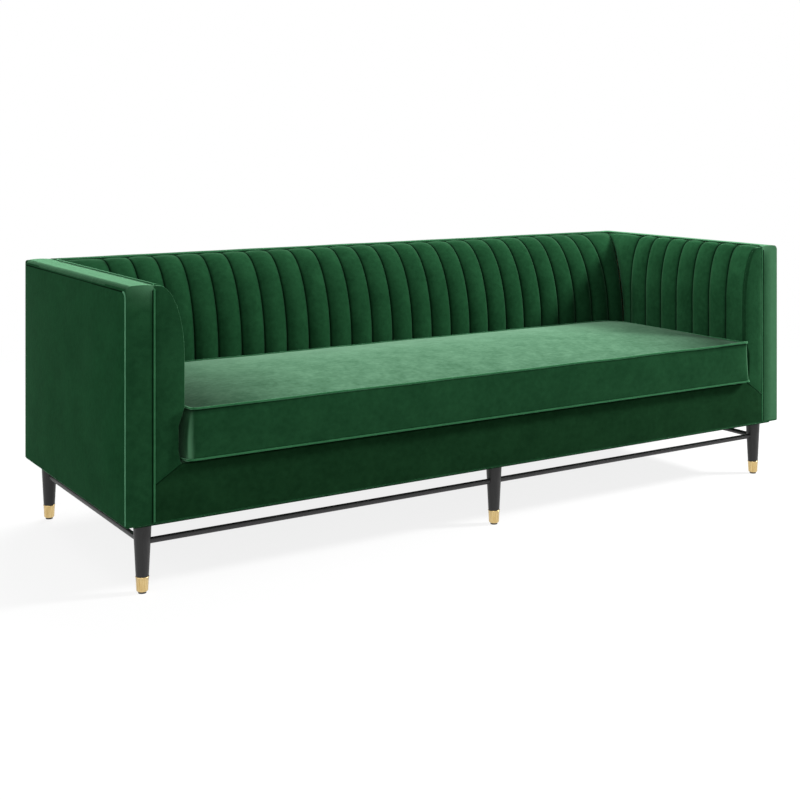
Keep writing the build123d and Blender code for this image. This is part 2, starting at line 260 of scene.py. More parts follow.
def ramp(tree, source, low, high, darkest=0.0, lightest=1.0):
    made = addNode(tree, "ShaderNodeMapRange", {
        "From Min": low, "From Max": high, "To Min": darkest, "To Max": lightest})
    wire(tree, source, made.inputs["Value"])
    return made.outputs["Result"]


def grainOf(tree, place, scale, detail, stretch=(1, 1, 1), roughness=0.55):
    mapped = addNode(tree, "ShaderNodeMapping", {"Scale": stretch})
    wire(tree, place, mapped.inputs["Vector"])
    made = addNode(tree, "ShaderNodeTexNoise", {"Scale": scale, "Detail": detail, "Roughness": roughness})
    wire(tree, mapped.outputs["Vector"], made.inputs["Vector"])
    return made.outputs["Fac"]


def joined(tree, operation, first, second):
    made = addNode(tree, "ShaderNodeMath", operation=operation)
    for index, value in enumerate((first, second)):
        if isinstance(value, (int, float)):
            made.inputs[index].default_value = value
        else:
            wire(tree, value, made.inputs[index])
    return made.outputs["Value"]


def times(tree, first, second):
    return joined(tree, "MULTIPLY", first, second)


def mixedColor(tree, share, first, second):
    made = addNode(tree, "ShaderNodeMix", data_type="RGBA")
    for socket, value in ((made.inputs[6], first), (made.inputs[7], second)):
        if isinstance(value, (tuple, list)):
            socket.default_value = (*value, 1.0)
        else:
            wire(tree, value, socket)
    wire(tree, share, made.inputs[0])
    return made.outputs[2]


def groupNamed(name, inputs):
    # a finish's group: its inputs by kind, and the three outputs that every finish takes
    tree = bpy.data.node_groups.new(name, "ShaderNodeTree")
    outputs = {"Color": "Color", "Height": "Float", "Roughness": "Float"}
    for way, sockets in (("INPUT", inputs), ("OUTPUT", outputs)):
        for label, kind in sockets.items():
            tree.interface.new_socket(label, in_out=way, socket_type="NodeSocket" + kind)
    return tree, tree.nodes.new("NodeGroupInput"), tree.nodes.new("NodeGroupOutput")


# painted shade: the shade mask mixes in the near-black colour, at most by the seam depth share
napShape = {
    "broad": 13.0, "streak": 85.0, "fibre": 900.0, "streakStretch": (0.7, 1.0, 0.8),
    "leanShare": 0.45, "brushShare": 0.55, "speck": 0.12, "seamDepth": 0.95,
    "shadeColor": (0.0005, 0.004, 0.0015), "patchHeight": 0.8, "fibreHeight": 0.25,
    "flatRough": 0.95, "raisedRough": 0.75, "bump": 0.22, "bumpDepth": 0.003,
}


def makeNap():
    # brushed pile: broad patches where the nap leans, short streaks and single fibres
    tree, taken, given = groupNamed(
        "velvetNap", {"Deep": "Color", "Raised": "Color", "Patch": "Float", "Seam": "Float"})
    place = objectPlace(tree)
    broad = grainOf(tree, place, napShape["broad"], 5.0, roughness=0.62)
    streak = grainOf(tree, place, napShape["streak"], 3.0, stretch=napShape["streakStretch"])
    fibre = grainOf(tree, place, napShape["fibre"], 2.0)
    lean = times(tree, ramp(tree, broad, 0.36, 0.66), napShape["leanShare"])
    brushed = times(tree, ramp(tree, streak, 0.3, 0.72), napShape["brushShare"])
    patch = joined(tree, "ADD", lean, brushed)
    fleck = ramp(tree, fibre, 0.3, 0.7, -napShape["speck"], napShape["speck"])
    share = joined(tree, "ADD", times(tree, patch, taken.outputs["Patch"]), fleck)
    tone = mixedColor(tree, share, taken.outputs["Deep"], taken.outputs["Raised"])
    # the shade mask mixes in a near-black green: painted shade
    shade = times(tree, taken.outputs["Seam"], napShape["seamDepth"])
    wire(tree, mixedColor(tree, shade, tone, napShape["shadeColor"]), given.inputs["Color"])
    height = joined(tree, "ADD", times(tree, patch, napShape["patchHeight"]),
                    times(tree, fibre, napShape["fibreHeight"]))
    wire(tree, height, given.inputs["Height"])
    rough = ramp(tree, patch, 0.0, 1.0, napShape["flatRough"], napShape["raisedRough"])
    wire(tree, rough, given.inputs["Roughness"])
    return tree


grainShape = {
    "rings": 9.0, "pores": 70.0, "twist": 0.4, "poreShare": 0.4, "darkRough": 0.34, "lightRough": 0.5,
    "specular": 0.35, "coatRough": 0.25, "bump": 0.12, "bumpDepth": 0.0006,
}


def makeGrain():
    # long fibres with fine pores, for turned and sawn wood
    tree, taken, given = groupNamed("woodGrain", {"Dark": "Color", "Light": "Color", "Stretch": "Vector"})
    mapped = addNode(tree, "ShaderNodeMapping")
    wire(tree, objectPlace(tree), mapped.inputs["Vector"])
    wire(tree, taken.outputs["Stretch"], mapped.inputs["Scale"])
    rings = addNode(tree, "ShaderNodeTexNoise", {
        "Scale": grainShape["rings"], "Detail": 6.0, "Distortion": grainShape["twist"]})
    pores = addNode(tree, "ShaderNodeTexNoise", {"Scale": grainShape["pores"], "Detail": 3.0})
    for texture in (rings, pores):
        wire(tree, mapped.outputs["Vector"], texture.inputs["Vector"])
    band = ramp(tree, rings.outputs["Fac"], 0.3, 0.7)
    pore = ramp(tree, pores.outputs["Fac"], 0.35, 0.6)
    filled = joined(tree, "ADD", times(tree, pore, grainShape["poreShare"]), 1 - grainShape["poreShare"])
    share = times(tree, band, filled)
    wire(tree, mixedColor(tree, share, taken.outputs["Dark"], taken.outputs["Light"]), given.inputs["Color"])
    wire(tree, pore, given.inputs["Height"])
    rough = ramp(tree, band, 0.0, 1.0, grainShape["darkRough"], grainShape["lightRough"])
    wire(tree, rough, given.inputs["Roughness"])
    return tree


napGroup = makeNap()
grainGroup = makeGrain()


def blankMaterial(name):
    material = bpy.data.materials.new(name)
    material.use_nodes = True
    tree = material.node_tree
    return material, tree, tree.nodes["Principled BSDF"]


def bumpInto(tree, shader, height, strength, distance):
    bump = addNode(tree, "ShaderNodeBump", {"Strength": strength, "Distance": distance})
    wire(tree, height, bump.inputs["Height"])
    wire(tree, bump.outputs["Normal"], shader.inputs["Normal"])


# rim, rimStart and the colour after them set a painted sheen: how strong, from what edge-on share, and how
# pale
velvetLook = {
    "deep": (0.0044, 0.0236, 0.0088), "raised": (0.0098, 0.0455, 0.0176), "patch": 0.7,
    "sheen": 0.42, "sheenRoughness": 0.30, "sheenTint": (0.40, 0.92, 0.53),
    "rim": 0.75, "rimStart": 0.5, "sheenPaintColor": (0.095, 0.238, 0.130),
}
# lit and shaded copies of the velvet, tuned to how the light falls on each panel: painted light and shade.
# The outer sides and the back's top take a dull copy with little sheen, a painted shade.
shadedSideLook = dict(velvetLook, deep=(0.0042, 0.0300, 0.0102), raised=(0.0090, 0.0560, 0.0198),
                sheen=0.06, rim=0.35)
# the pads trade most of their sheen for a paler base colour: a painted sheen
padLook = dict(velvetLook, deep=(0.0060, 0.0310, 0.0117), raised=(0.0128, 0.0595, 0.0235),
               sheen=0.10, rim=0.15)
# the arm pads, weakly lit, are paler still: painted light
litArmPadLook = dict(padLook, deep=(0.0096, 0.0480, 0.0184), raised=(0.0206, 0.0910, 0.0368))
# the apron is darker: painted shade under the cushion
shadedApronLook = dict(velvetLook, deep=(0.0031, 0.0152, 0.0053), raised=(0.0066, 0.0290, 0.0106), sheen=0.30)
# the seat top is much paler with little sheen: painted light and a painted sheen
litSeatLook = dict(velvetLook, deep=(0.0400, 0.1080, 0.0580), raised=(0.0920, 0.1960, 0.1190), patch=1.0,
                sheen=0.14, sheenTint=(0.60, 0.95, 0.69), rim=0.0, sheenPaintColor=(0.140, 0.262, 0.172))
# the cords are paler, as if catching the light: a painted highlight
litPipingLook = dict(velvetLook, deep=(0.0150, 0.0700, 0.0285), raised=(0.0270, 0.1080, 0.0460),
                  sheen=0.70, rim=0.60)
# paler still, for lit edges: a painted highlight
highlightEdgeLook = dict(litPipingLook, deep=(0.0480, 0.1500, 0.0800), raised=(0.0860, 0.2250, 0.1300))
# near black, for cords that stand in for the shade in sewn grooves: painted shade
grooveShadeLook = dict(velvetLook, deep=(0.0006, 0.0050, 0.0017), raised=(0.0010, 0.0080, 0.0028),
                sheen=0.05, rim=0.0)


def velvetMaterial(name, look):
    material, tree, shader = blankMaterial(name)
    nap = addNode(tree, "ShaderNodeGroup", {
        "Deep": (*look["deep"], 1.0), "Raised": (*look["raised"], 1.0), "Patch": look["patch"],
    }, node_tree=napGroup)
    seam = addNode(tree, "ShaderNodeAttribute", attribute_name="paintedShade").outputs["Fac"]
    highlightMask = addNode(tree, "ShaderNodeAttribute", attribute_name="paintedHighlight").outputs["Fac"]
    wire(tree, seam, nap.inputs["Seam"])
    # painted sheen: the base colour turns paler where the surface is seen edge on, less where the painted
    # shade lies, and at least as pale as the painted highlight mask
    edgeOn = addNode(tree, "ShaderNodeLayerWeight", {"Blend": 0.5}).outputs["Facing"]
    grazing = ramp(tree, edgeOn, look["rimStart"], 1.0)
    clear = joined(tree, "SUBTRACT", look["rim"], times(tree, seam, look["rim"]))
    rim = times(tree, times(tree, grazing, grazing), clear)
    rim = joined(tree, "MAXIMUM", rim, highlightMask)
    wire(tree, mixedColor(tree, rim, nap.outputs["Color"], look["sheenPaintColor"]), shader.inputs["Base Color"])
    wire(tree, nap.outputs["Roughness"], shader.inputs["Roughness"])
    setInputs(shader, {
        "Specular IOR Level": 0.0, "Sheen Weight": look["sheen"],
        "Sheen Roughness": look["sheenRoughness"], "Sheen Tint": (*look["sheenTint"], 1.0)})
    bumpInto(tree, shader, nap.outputs["Height"], napShape["bump"], napShape["bumpDepth"])
    return material


def woodMaterial(name, dark, light, stretch, coat):
    material, tree, shader = blankMaterial(name)
    grain = addNode(tree, "ShaderNodeGroup", {
        "Dark": (*dark, 1.0), "Light": (*light, 1.0), "Stretch": stretch}, node_tree=grainGroup)
    wire(tree, grain.outputs["Color"], shader.inputs["Base Color"])
    wire(tree, grain.outputs["Roughness"], shader.inputs["Roughness"])
    setInputs(shader, {"Specular IOR Level": grainShape["specular"], "Coat Weight": coat,
                       "Coat Roughness": grainShape["coatRough"]})
    bumpInto(tree, shader, grain.outputs["Height"], grainShape["bump"], grainShape["bumpDepth"])
    return material


def brushedMaterial(name, dark, light, metallic, rough, stretch):
    material, tree, shader = blankMaterial(name)
    lines = grainOf(tree, objectPlace(tree), 60.0, 5.0, stretch=stretch)
    wire(tree, mixedColor(tree, ramp(tree, lines, 0.3, 0.7), dark, light), shader.inputs["Base Color"])
    wire(tree, ramp(tree, lines, 0.3, 0.7, *rough), shader.inputs["Roughness"])
    setInputs(shader, {"Metallic": metallic})
    bumpInto(tree, shader, lines, 0.08, 0.0004)
    return material


def clothMaterial(name, dark, light, scale):
    material, tree, shader = blankMaterial(name)
    place = objectPlace(tree)
    weave = addNode(tree, "ShaderNodeTexBrick", {
        "Scale": scale, "Mortar Size": 0.03, "Brick Width": 0.5, "Row Height": 0.25,
        "Color1": (*light, 1), "Color2": (*light, 1), "Mortar": (*dark, 1)})
    wire(tree, place, weave.inputs["Vector"])
    fuzz = grainOf(tree, place, 120.0, 3.0)
    tone = mixedColor(tree, ramp(tree, fuzz, 0.3, 0.8, 0.0, 0.6), weave.outputs["Color"], dark)
    wire(tree, tone, shader.inputs["Base Color"])
    setInputs(shader, {"Roughness": 0.95})
    bumpInto(tree, shader, fuzz, 0.3, 0.001)
    return material


velvet = velvetMaterial("greenVelvet", velvetLook)
shadedSideVelvet = velvetMaterial("shadedSideVelvet", shadedSideLook)
padVelvet = velvetMaterial("padVelvet", padLook)
litArmPadVelvet = velvetMaterial("litArmPadVelvet", litArmPadLook)
shadedApronVelvet = velvetMaterial("shadedApronVelvet", shadedApronLook)
litSeatVelvet = velvetMaterial("litSeatVelvet", litSeatLook)
litPipingVelvet = velvetMaterial("litPipingVelvet", litPipingLook)
highlightEdgeVelvet = velvetMaterial("highlightEdgeVelvet", highlightEdgeLook)
grooveShadeVelvet = velvetMaterial("grooveShadeVelvet", grooveShadeLook)
brass = brushedMaterial(
    "brushedBrass", (0.52, 0.35, 0.13), (0.78, 0.60, 0.30), 1.0, (0.18, 0.34), (9, 9, 0.25))
foam = clothMaterial("foamCore", (0.62, 0.56, 0.38), (0.78, 0.74, 0.56), 260.0)
deckFelt = clothMaterial("deckFelt", (0.012, 0.05, 0.022), (0.02, 0.075, 0.034), 320.0)
dustCloth = clothMaterial("dustCloth", (0.006, 0.006, 0.006), (0.016, 0.016, 0.016), 420.0)
zipTape = clothMaterial("zipTape", (0.004, 0.03, 0.010), (0.008, 0.06, 0.022), 500.0)
slotFinish = {
    "velvet": velvet, "wrapped_plank": velvet, "brass": brass, "foam": foam, "deck_felt": deckFelt,
    "dust_cloth": dustCloth, "zip": zipTape,
    "black_wood": woodMaterial(
        "blackWood", (0.0052, 0.0052, 0.0056), (0.0115, 0.0113, 0.0112), (40, 40, 3), 0.08),
    "frame_wood": woodMaterial("frameWood", (0.36, 0.23, 0.12), (0.58, 0.42, 0.25), (12, 3, 12), 0.0),
    "black_metal": brushedMaterial(
        "blackMetal", (0.006, 0.006, 0.0065), (0.012, 0.012, 0.0125), 0.0, (0.38, 0.5), (9, 9, 9)),
    "insert_brass": brushedMaterial(
        "insertBrass", (0.60, 0.40, 0.16), (0.75, 0.55, 0.26), 1.0, (0.3, 0.45), (10, 10, 10)),
    "steel": brushedMaterial(
        "springSteel", (0.30, 0.30, 0.31), (0.46, 0.46, 0.47), 1.0, (0.3, 0.45), (8, 8, 8)),
    "glide_plastic": brushedMaterial(
        "glidePlastic", (0.012, 0.012, 0.012), (0.03, 0.03, 0.03), 0.0, (0.5, 0.7), (9, 9, 9)),
}
for part in frame["record"]["subparts"]:
    shown = nodes[part["node"]]
    shown.data.materials.clear()
    shown.data.materials.append(slotFinish[part["material_slot"]])
print("finishes ready:", len(slotFinish))

# places shared by the soft pieces, all read from the frame
backLow, backHigh = boxOf("back_pad")
armLow, armHigh = boxOf("right_arm_pad")
coverLow, coverHigh = boxOf("right_arm_cover")
backCoverLow, backCoverHigh = boxOf("back_cover")
apronLow, apronHigh = boxOf("front_apron")
facingLow, facingHigh = boxOf("right_arm_facing")
cushionLow, cushionHigh = boxOf("seat_cushion_cover")
zipLow, zipHigh = boxOf("seat_cushion_zip")
deckLow, deckHigh = boxOf("deck_pad")
wallX = armHigh.x
wallY = backHigh.y
padTop = backHigh.z
padFoot = backLow.z
bodyFront = coverLow.y
topZ = coverHigh.z

# channel pads: bays between sewn seams, rolled over at the top
padShape = {
    "pitch": 0.076, "rise": 0.010, "edge": 0.008, "armDepth": 0.069, "backDepth": 0.160,
    "armShoulder": 0.560, "backShoulder": 0.455, "frontBay": 0.086, "leastBay": 0.020,
    "columns": 12, "rows": 46, "trace": 400, "crowd": 0.25, "swellPower": 2.1, "gap": 0.0006,
    "sink": 0.006, "stitch": 0.004, "press": 0.003, "seamShare": 0.07, "fill": 0.8,
    "lip": 0.0095, "lipFoot": 0.405, "lipRise": 0.045, "pinch": 0.007, "pinchRise": 0.03,
}
padStuffing = {"pressure": 3.0, "slack": 0.0, "stretch": 30.0, "bend": 4.0, "frames": 14, "cap": 0.008}


def seamDepth(level, depth, shoulder):
    if level <= shoulder:
        return depth
    share = clampShare((level - shoulder) / (padTop - shoulder))
    return padShape["edge"] + (depth - padShape["edge"]) * math.sqrt(1 - share * share)


def armDepthAt(level):
    return seamDepth(level, padShape["armDepth"], padShape["armShoulder"])


def backDepthAt(level):
    return seamDepth(level, padShape["backDepth"], padShape["backShoulder"])


def lipAt(level):
    # how far the padding stands out at an arm's front end: more above the cushion, pressed in beside it
    share = clampShare((level - padShape["lipFoot"]) / padShape["lipRise"])
    pinch = padShape["pinch"] * (1 - share) * clampShare((level - apronHigh.z) / padShape["pinchRise"])
    return (padShape["lip"] * share - pinch) * math.sqrt(armDepthAt(level) / padShape["armDepth"])


def facingEdge(level):
    # the inner edge of an arm's front end, measured from the sofa's middle
    return wallX - armDepthAt(level) - lipAt(level)


def profileRows(shoulder, depth):
    # even steps along a pad's face, from its foot to its top edge
    trace = []
    length = 0.0
    last = None
    for index in range(padShape["trace"] + 1):
        angle = math.pi / 2 * index / padShape["trace"]
        level = shoulder + (padTop - shoulder) * math.sin(angle)
        out = padShape["edge"] + (depth - padShape["edge"]) * math.cos(angle)
        if last:
            length += math.hypot(level - last[0], out - last[1])
        trace.append((length, level))
        last = (level, out)
    straight = shoulder - padFoot
    rows = []
    for row in range(padShape["rows"]):
        reach = (straight + length) * row / padShape["rows"]
        if reach <= straight:
            rows.append(padFoot + reach)
        else:
            rows.append(next(level for along, level in trace if along >= reach - straight - 1e-9))
    return rows + [padTop]


def crowded(share):
    # draws even steps towards both ends of a bay, so that each seam's valley stays narrow
    if share in (0.0, 0.5):
        return share
    turn = math.cos(math.pi * share)
    return 0.5 - 0.5 * turn * abs(turn) ** -padShape["crowd"]


def channelPad(name, seams, shoulder, depth, placeAt, material, openStart=False):
    # a sheet sewn down along each seam: a grid that is bent to the pad's face, then stuffed
    bays = len(seams) + 1
    rows = profileRows(shoulder, depth)
    count = padShape["columns"]
    columns = [(bay, crowded(step / count)) for bay in range(bays) for step in range(count)]
    columns.append((bays - 1, 1.0))
    bm = bmesh.new()
    bmesh.ops.create_grid(bm, x_segments=len(columns) - 1, y_segments=len(rows) - 1, size=0.5)
    ordered = sorted(bm.verts, key=lambda vertex: (round(vertex.co.y, 5), round(vertex.co.x, 5)))
    sewn = []
    shades = {}
    for index, vertex in enumerate(ordered):
        row, column = divmod(index, len(columns))
        bay, share = columns[column]
        atSeam = share in (0.0, 1.0)
        swell = 0.0 if atSeam else dome(share, padShape["swellPower"])
        vertex.co = placeAt(bay, share, swell, rows[row], atSeam)
        # painted shade in each seam's valley, none at an arm pad's open front edge
        nearest = 1 - share if openStart and bay == 0 else min(share, 1 - share)
        shades[vertex] = max(0.0, 1 - nearest / padShape["seamShare"])
        if atSeam or row in (0, len(rows) - 1):
            sewn.append(vertex)
    bm.verts.index_update()
    sewnIndices = [vertex.index for vertex in sewn]
    shadeList = [shades[vertex] for vertex in bm.verts]
    piece = newPiece(name, bm, material)
    stuff(piece, sewnIndices, padStuffing)
    maskPoints(piece, "paintedShade", shadeList)
    return piece


def closePad(piece, towards):
    # a second sheet, flat on the board behind, closes the pad
    bm = bmesh.new()
    bm.from_mesh(piece.data)
    flat = bm.verts[:]
    bmesh.ops.extrude_face_region(bm, geom=bm.faces[:], use_keep_orig=True)
    for vertex in flat:
        vertex.co = towards(vertex.co)
    bmesh.ops.recalc_face_normals(bm, faces=bm.faces[:])
    bm.to_mesh(piece.data)
    bm.free()
    for face in piece.data.polygons:
        face.use_smooth = True
    subdivided(piece)


def backSeams():
    limit = wallX - padShape["armDepth"] - padShape["rise"] - padShape["leastBay"]
    reach = math.floor(limit / padShape["pitch"])
    return [padShape["pitch"] * index for index in range(-reach, reach + 1)]


def armSeams():
    first = armLow.y + padShape["frontBay"]
    limit = wallY - padShape["backDepth"] - padShape["rise"] - padShape["leastBay"]
    count = math.floor((limit - first) / padShape["pitch"]) + 1
    return [first + padShape["pitch"] * index for index in range(count)]


seamsBack = backSeams()
seamsArm = armSeams()


def padLift(width, swell, depth, fullDepth, stitched):
    # how far a point of a bay stands out of the seams' own face
    ease = math.sqrt(depth / fullDepth)
    sink = padShape["sink"] * ease
    lift = (padShape["rise"] * min(1.0, width / padShape["pitch"]) * ease + sink) * swell - sink
    return lift - padShape["stitch"] * ease if stitched else lift


def slopeOut(level, depthAt):
    # the face's outward tilt at a height, as depth and level parts of a unit step
    step = 0.001
    rise = depthAt(min(level + step, padTop)) - depthAt(level - step)
    run = min(level + step, padTop) - (level - step)
    length = math.hypot(run, rise)
    return run / length, -rise / length


def backPlace(bay, share, swell, level, atSeam):
    corner = wallX - armDepthAt(level) + padShape["press"]
    lines = [-corner, *seamsBack, corner]
    width = lines[bay + 1] - lines[bay]
    x = lines[bay] + width * share
    depth = backDepthAt(level)
    lift = padLift(width, swell, depth, padShape["backDepth"], atSeam)
    if atSeam and abs(x) == corner:
        lift = 0.0
    outY, outZ = slopeOut(level, backDepthAt)
    return Vector((x, wallY - depth - lift * outY, level + lift * outZ))


def armPlace(side):
    def place(bay, share, swell, level, atSeam):
        corner = wallY - backDepthAt(level) + padShape["press"]
        lines = [armLow.y + padShape["gap"], *seamsArm, corner]
        width = lines[bay + 1] - lines[bay]
        depth = armDepthAt(level)
        atFront = bay == 0 and share < 0.5
        lift = padLift(width, swell, depth, padShape["armDepth"], atSeam and not atFront)
        if atFront:
            lift = max(lift, lipAt(level))
        elif bay + share == len(seamsArm) + 1:
            lift = 0.0
        outX, outZ = slopeOut(level, armDepthAt)
        return Vector((side * (wallX - depth - lift * outX), lines[bay] + width * share, level + lift * outZ))
    return place


backPad = channelPad("backPad", seamsBack, padShape["backShoulder"], padShape["backDepth"],
                     backPlace, padVelvet)
closePad(backPad, lambda co: Vector((co.x, wallY - padShape["gap"], co.z)))
declare(backPad, "sofa", "back_pad")
for sideName, side in sides:
    # the arm pads take the paler copy: painted light
    pad = channelPad(sideName + "ArmPad", seamsArm, padShape["armShoulder"], padShape["armDepth"],
                     armPlace(side), litArmPadVelvet, openStart=True)
    closePad(pad, lambda co, side=side: Vector((side * (wallX - padShape["gap"]), co.y, co.z)))
    declare(pad, "sofa", sideName + "_arm_pad")
print("channel pads:", len(seamsBack) + 1, "bays in the back,", len(seamsArm) + 1, "in each arm")

# arm covers: a flat strip over the front and top, a fuller panel outside
armCoverShape = {
    "topRadius": 0.013, "frontRadius": 0.014, "cornerRadius": 0.018, "edgeRadius": 0.004, "slice": 0.03,
    "bulge": 0.007, "uneven": 0.0016, "skin": 0.004, "stripCrown": 0.0025, "stripUneven": 0.0006,
    "noseHighlight": 0.40, "noseFade": 0.042, "noseOuter": 0.3, "noseReach": 0.016, "noseTurn": 0.012,
    "stripHighlight": {"left": 0.0, "right": 0.24}, "stripShare": 0.6,
}


def armCover(sideName, side):
    shape = armCoverShape
    low, high = coverLow.copy(), coverHigh.copy()
    if side < 0:
        low.x, high.x = -coverHigh.x, -coverLow.x
    outer = side * coverHigh.x
    bm = boxMesh(low, high)
    bevelEdges(bm, edgesOn(bm, (0, outer), (2, high.z)), shape["topRadius"], 6)
    bevelEdges(bm, edgesOn(bm, (0, outer), (1, low.y)), shape["frontRadius"], 6)
    bevelEdges(bm, edgesOn(bm, (1, low.y), (2, high.z)), shape["cornerRadius"], 5)
    bevelSharp(bm, shape["edgeRadius"])
    for axis, size in ((1, shape["slice"]), (2, shape["slice"]), (0, shape["slice"] / 2)):
        cutEvery(bm, axis, low, high, size)

    def inwardOf(co):
        return clampShare(abs(co.x - outer) / (high.x - low.x))

    for vertex in bm.verts:
        across, up = shareOf(vertex.co, 1, low, high), shareOf(vertex.co, 2, low, high)
        inward = inwardOf(vertex.co)
        puff = shape["bulge"] * dome(across) * dome(up) * (1 - inward) ** 2
        uneven = shape["uneven"] * wobble(vertex.co, 7.0, 3.0 + side) * dome(across) * dome(up)
        vertex.co.x += side * (puff + uneven * (1 - inward))
        crown = shape["stripCrown"] * dome(inward, 2)
        if vertex.co.z > high.z - shape["skin"]:
            vertex.co.z += crown + shape["stripUneven"] * wobble(vertex.co, 11.0, 8.0)
        if vertex.co.y < low.y + shape["skin"]:
            vertex.co.y -= crown * dome(up, 8)
    piece = newPiece(sideName + "ArmCover", bm, velvet)
    # the outer side takes the dull copy: painted shade
    paintedLightByFacing(piece, 0, side * 0.9, shadedSideVelvet)
    # a painted highlight on the front where the strip turns over the nose, strongest towards the inner side,
    # and down the right arm's front, strongest at its outer edge
    paintedHighlights = []
    for vertex in piece.data.vertices:
        inward = inwardOf(vertex.co)
        onFront = clampShare((low.y + shape["noseReach"] - vertex.co.y) / shape["noseTurn"])
        nose = shape["noseHighlight"] * clampShare(1 - (high.z - vertex.co.z) / shape["noseFade"])
        nose *= shape["noseOuter"] + (1 - shape["noseOuter"]) * inward
        strip = shape["stripHighlight"][sideName] * clampShare((1 - inward) / shape["stripShare"])
        paintedHighlights.append(onFront * max(nose, strip))
    maskPoints(piece, "paintedHighlight", paintedHighlights)
    declare(piece, "sofa", sideName + "_arm_cover")
    subdivided(piece)


for sideName, side in sides:
    armCover(sideName, side)

# back cover: the outside back with its top strip
backCoverShape = {
    "topRadius": 0.013, "edgeRadius": 0.0045, "slice": 0.045, "bulge": 0.006, "uneven": 0.002,
    "strip": 0.012, "stripEdge": 0.002, "stripSlice": 0.012, "skin": 0.004, "stripCrown": 0.0025,
    "stripUneven": 0.0008,
}


def backCover():
    shape = backCoverShape
    low, high = backCoverLow, backCoverHigh
    rearLow = Vector((low.x, coverHigh.y, low.z))
    bm = boxMesh(rearLow, high)
    bevelEdges(bm, edgesOn(bm, (2, high.z)), shape["topRadius"], 6)
    bevelSharp(bm, shape["edgeRadius"])
    for axis in (0, 2):
        cutEvery(bm, axis, rearLow, high, shape["slice"])
    for vertex in bm.verts:
        across, up = shareOf(vertex.co, 0, low, high), shareOf(vertex.co, 2, low, high)
        fullness = dome(across, 8) * dome(up) * shareOf(vertex.co, 1, rearLow, high)
        vertex.co.y += fullness * (shape["bulge"] + shape["uneven"] * wobble(vertex.co, 5.0, 2.0))
    stripLow = Vector((-wallX, low.y, high.z - shape["strip"]))
    stripHigh = Vector((wallX, coverHigh.y, high.z))
    strip = boxMesh(stripLow, stripHigh)
    bevelSharp(strip, shape["stripEdge"])
    cutEvery(strip, 0, stripLow, stripHigh, shape["slice"])
    cutEvery(strip, 1, stripLow, stripHigh, shape["stripSlice"])
    for vertex in strip.verts:
        if vertex.co.z > high.z - shape["skin"]:
            crown = shape["stripCrown"] * dome(shareOf(vertex.co, 1, low, high), 2)
            vertex.co.z += crown + shape["stripUneven"] * wobble(vertex.co, 9.0, 5.0)
    stripMesh = bpy.data.meshes.new("stripDraft")
    strip.to_mesh(stripMesh)
    strip.free()
    bm.from_mesh(stripMesh)
    bpy.data.meshes.remove(stripMesh)
    piece = newPiece("backCover", bm, velvet)
    # the top faces take the dull copy: painted shade
    paintedLightByFacing(piece, 2, 0.3, shadedSideVelvet)
    declare(piece, "sofa", "back_cover")
    subdivided(piece)


backCover()

# front apron and arm facings: flat panels that meet in a mitred seam
frontShape = {
    "edge": 0.004, "softEdge": 0.0095, "tuck": 0.003, "gap": 0.0004, "slice": 0.024, "skin": 0.002,
    "puff": 0.003, "uneven": 0.0014, "curveSteps": 14, "mitre": 0.046,
    "lipLevels": (0.50, 0.45, 0.4275, 0.405, 0.375, 0.345),
}


def panelMesh(outline, front, back, isSoft=None):
    # a panel drawn back from its outline, with its front rim rounded
    bm = bmesh.new()
    face = bm.faces.new([bm.verts.new((x, front, z)) for x, z in outline])
    drawn = bmesh.ops.extrude_face_region(bm, geom=[face])["geom"]
    moved = [item for item in drawn if isinstance(item, bmesh.types.BMVert)]
    bmesh.ops.translate(bm, vec=(0, back - front, 0), verts=moved)
    rim = edgesOn(bm, (1, front))
    soft = [edge for edge in rim if isSoft and all(isSoft(vertex.co) for vertex in edge.verts)]
    if soft:
        bevelEdges(bm, soft, frontShape["softEdge"], 5)
        rim = [edge for edge in edgesOn(bm, (1, front)) if isSharp(edge)]
    bevelEdges(bm, rim, frontShape["edge"], 3)
    return bm


def puffPanel(bm, front, low, high, seed):
    for axis in (0, 2):
        cutEvery(bm, axis, low, high, frontShape["slice"])
    rear = max(vertex.co.y for vertex in bm.verts)
    for edge in bm.edges:
        edge.smooth = any(vertex.co.y < rear - tolerance for vertex in edge.verts)
    for vertex in bm.verts:
        if vertex.co.y <= front + frontShape["skin"]:
            fullness = dome(shareOf(vertex.co, 0, low, high), 10) * dome(shareOf(vertex.co, 2, low, high))
            uneven = frontShape["uneven"] * wobble(vertex.co, 9.0, seed)
            vertex.co.y -= fullness * (frontShape["puff"] + uneven)


